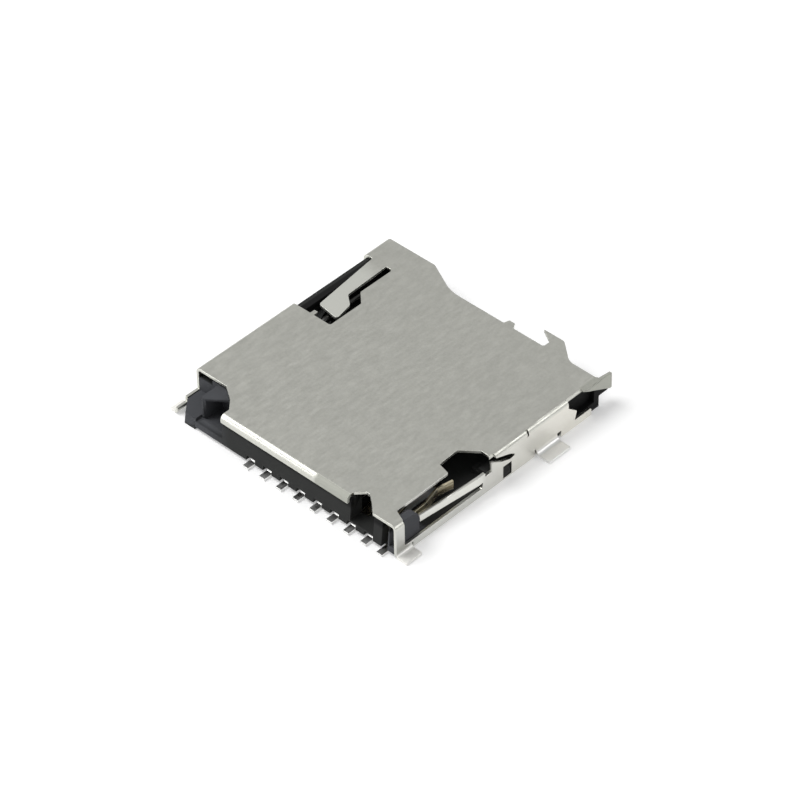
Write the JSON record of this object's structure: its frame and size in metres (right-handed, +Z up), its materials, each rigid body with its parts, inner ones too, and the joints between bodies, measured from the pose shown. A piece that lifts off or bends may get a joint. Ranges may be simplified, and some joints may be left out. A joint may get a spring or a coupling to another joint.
{
  "type": "micro sd card socket",
  "caption": "Low push-push memory card socket for a circuit board: folded steel shell over a black housing, rear solder tails, side solder feet and a spring ejector.",
  "frame": {"origin": "on the board plane, under the middle of the bounding box", "axes": "+Z up from the board, +Y out of the card mouth, solder tails at -Y, slider and finger at -X"},
  "size_m": [0.0164, 0.0154, 0.002],
  "materials": {
    "shell": "rolled, nickel plated",
    "housing": "moulded, fine grain",
    "slider": "moulded",
    "contact": "gold plated, tinned tails",
    "spring_steel": "drawn"
  },
  "bodies": {
    "base": {"housing": "housing", "shell": "shell", "contact_1": "contact", "contact_2": "contact", "contact_3": "contact", "contact_4": "contact", "contact_5": "contact", "contact_6": "contact", "contact_7": "contact", "contact_8": "contact", "detect_leaf": "contact", "eject_spring": "spring_steel"},
    "slide": {"slider": "slider", "card_hook": "spring_steel"},
    "rod": {"cam_rod": "spring_steel"}
  },
  "joints": [
    {"name": "slider_slide", "type": "slide", "parent": "base", "child": "slide", "axis": [0, 1, 0], "range_m": [-0.0036, 0], "stiffness_N_per_m": 120, "springref_m": 0.002, "deforming": ["eject_spring"]},
    {"name": "rod_swing", "type": "hinge", "parent": "base", "child": "rod", "pos_m": [-0.00571, 0.00647, 0.001], "axis": [0, 0, 1], "range_deg": [0, 6]}
  ],
  "couplings": [
    {"joint": "rod_swing", "follows": "slider_slide", "rad_per_m": -28.878}
  ]
}
